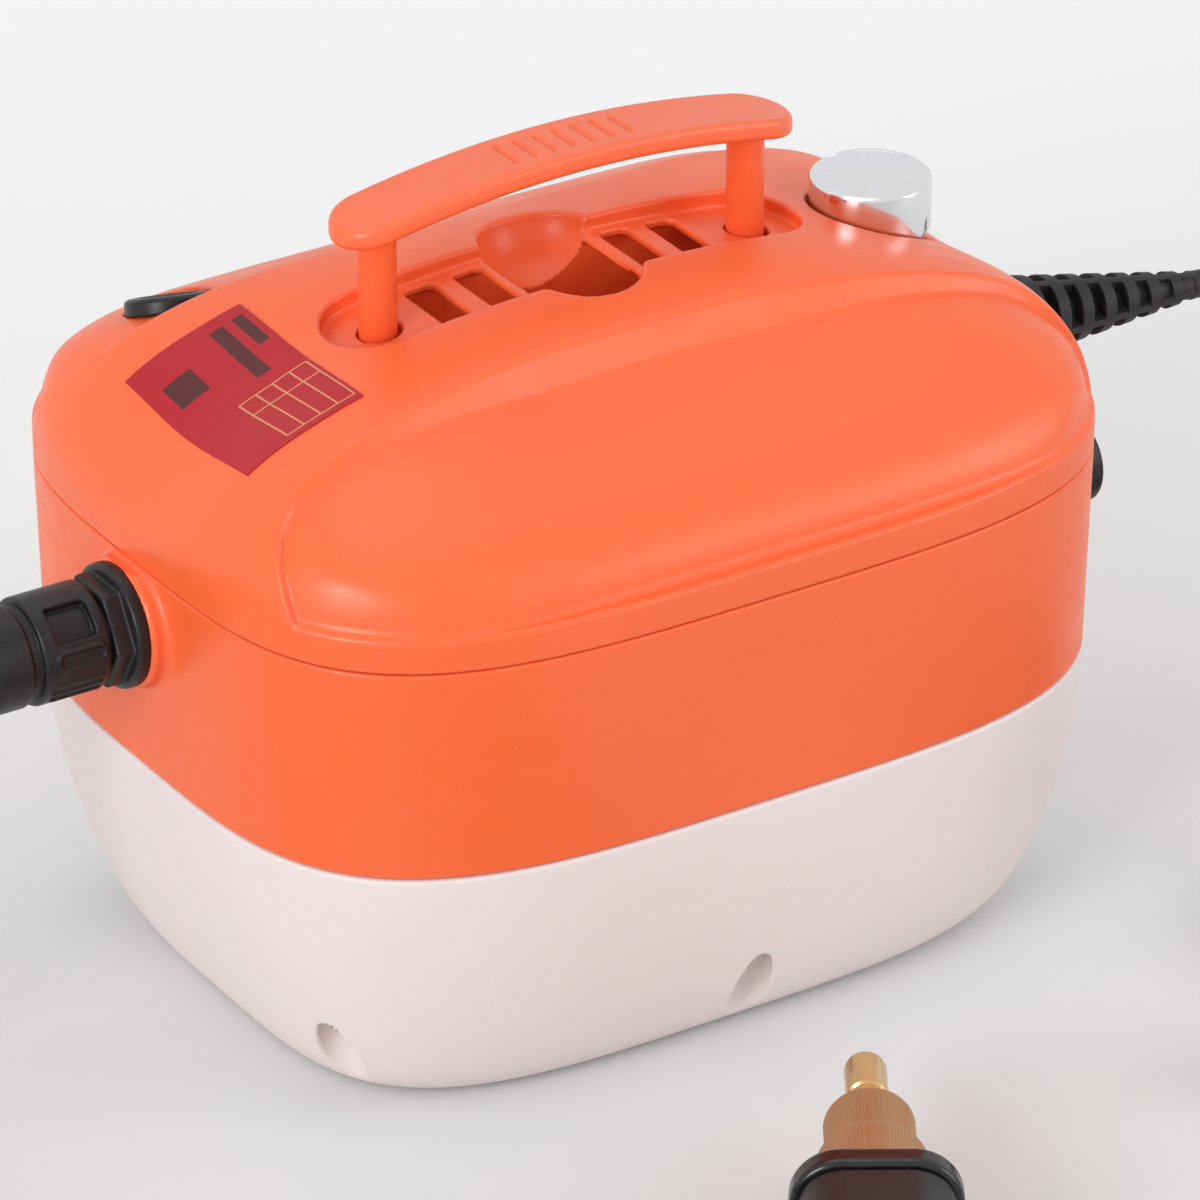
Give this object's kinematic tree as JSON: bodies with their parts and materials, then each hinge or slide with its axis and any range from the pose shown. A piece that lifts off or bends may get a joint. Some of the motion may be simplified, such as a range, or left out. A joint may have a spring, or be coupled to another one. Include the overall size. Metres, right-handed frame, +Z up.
{
  "type": "portable steam cleaner",
  "caption": "Portable steam cleaner with water tank, moulded housing, pull-up handle, control knob, filler cap, mains lead, steam hose and trigger gun.",
  "frame": {"origin": "centre of the flat base under the water tank", "axes": "+X along the body from the hose end to the mains end, +Y from the pictured long side to the far one, +Z up"},
  "size_m": [0.7475, 0.42, 0.2342],
  "materials": {
    "orange_shell": "moulded, satin gloss",
    "tank_white": "moulded, slightly milky",
    "black_plastic": "moulded, fine grain",
    "black_rubber": "flexible",
    "grey_rubber": "soft",
    "steel": "plain",
    "knob_silver": "spun face, bright edge",
    "cast_aluminium": "cast",
    "brass": "machined",
    "white_plastic": "plain",
    "clear_tube": "silicone tube",
    "blue_plastic": "plain",
    "board_green": "circuit board"
  },
  "bodies": {
    "machine": {"water_tank": "tank_white", "tank_gasket": "grey_rubber", "tank_screws": "steel", "mid_body": "orange_shell", "cover_screws": "steel", "top_cover": "orange_shell", "handle_tray": "orange_shell", "potentiometer": "board_green", "control_nut": "steel", "filler_neck": "black_plastic", "filler_tube": "clear_tube", "switch_housing": "black_plastic", "boiler_block": "cast_aluminium", "heater_terminals": "white_plastic", "thermostat": "steel", "thermal_fuse": "brass", "boiler_clamps": "steel", "pump_body": "blue_plastic", "pump_mounts": "grey_rubber", "suction_tube": "clear_tube", "suction_filter": "white_plastic", "feed_tube": "clear_tube", "steam_tube": "brass", "control_board": "board_green", "terminal_block": "white_plastic", "cord_clamp": "black_plastic", "strain_relief": "black_rubber", "cord_lead": "black_rubber", "cord_coil": "black_rubber", "cord_tail": "black_rubber", "cord_tie": "black_rubber", "plug_body": "black_rubber", "plug_pins": "steel", "hose_connector": "black_plastic", "connector_nut": "black_plastic", "hose_lead": "black_rubber", "hose_coil": "black_rubber", "hose_tail_run": "black_rubber", "hose_tie": "black_rubber", "gun_shell_lower": "black_plastic", "gun_shell_upper": "black_plastic", "gun_bezel": "black_plastic", "nozzle_body": "brass", "nozzle_tip": "brass", "trigger_pin": "steel", "micro_switch": "white_plastic", "gun_hose_nut": "black_plastic"},
    "handle": {"handle_grip": "orange_shell", "handle_posts": "orange_shell", "post_clips": "steel"},
    "knob": {"control_knob": "knob_silver", "control_shaft": "steel"},
    "filler_lid": {"filler_cap": "black_plastic", "cap_gasket": "grey_rubber"},
    "rocker": {"power_rocker": "black_plastic"},
    "trigger": {"gun_trigger": "black_plastic"}
  },
  "joints": [
    {"name": "handle_lift", "type": "slide", "parent": "machine", "child": "handle", "axis": [0, 0, 1], "range_m": [-0.025, 0]},
    {"name": "knob_turn", "type": "hinge", "parent": "machine", "child": "knob", "pos_m": [0.1, 0, 0.19], "axis": [0, 0, 1], "range_deg": [-280, 0]},
    {"name": "cap_turn", "type": "hinge", "parent": "machine", "child": "filler_lid", "pos_m": [-0.088, 0.0604, 0.1768], "axis": [0.1197, 0.3987, 0.9092], "range_deg": [0, 90]},
    {"name": "rocker_tip", "type": "hinge", "parent": "machine", "child": "rocker", "pos_m": [0.1271, -0.055, 0.125], "axis": [0, 1, 0], "range_deg": [0, 16]},
    {"name": "trigger_pull", "type": "hinge", "parent": "machine", "child": "trigger", "pos_m": [-0.11632, -0.26761, 0.022], "axis": [0, 0, 1], "range_deg": [0, 12], "stiffness_Nm_per_rad": 0.4, "springref_deg": -5.73}
  ]
}
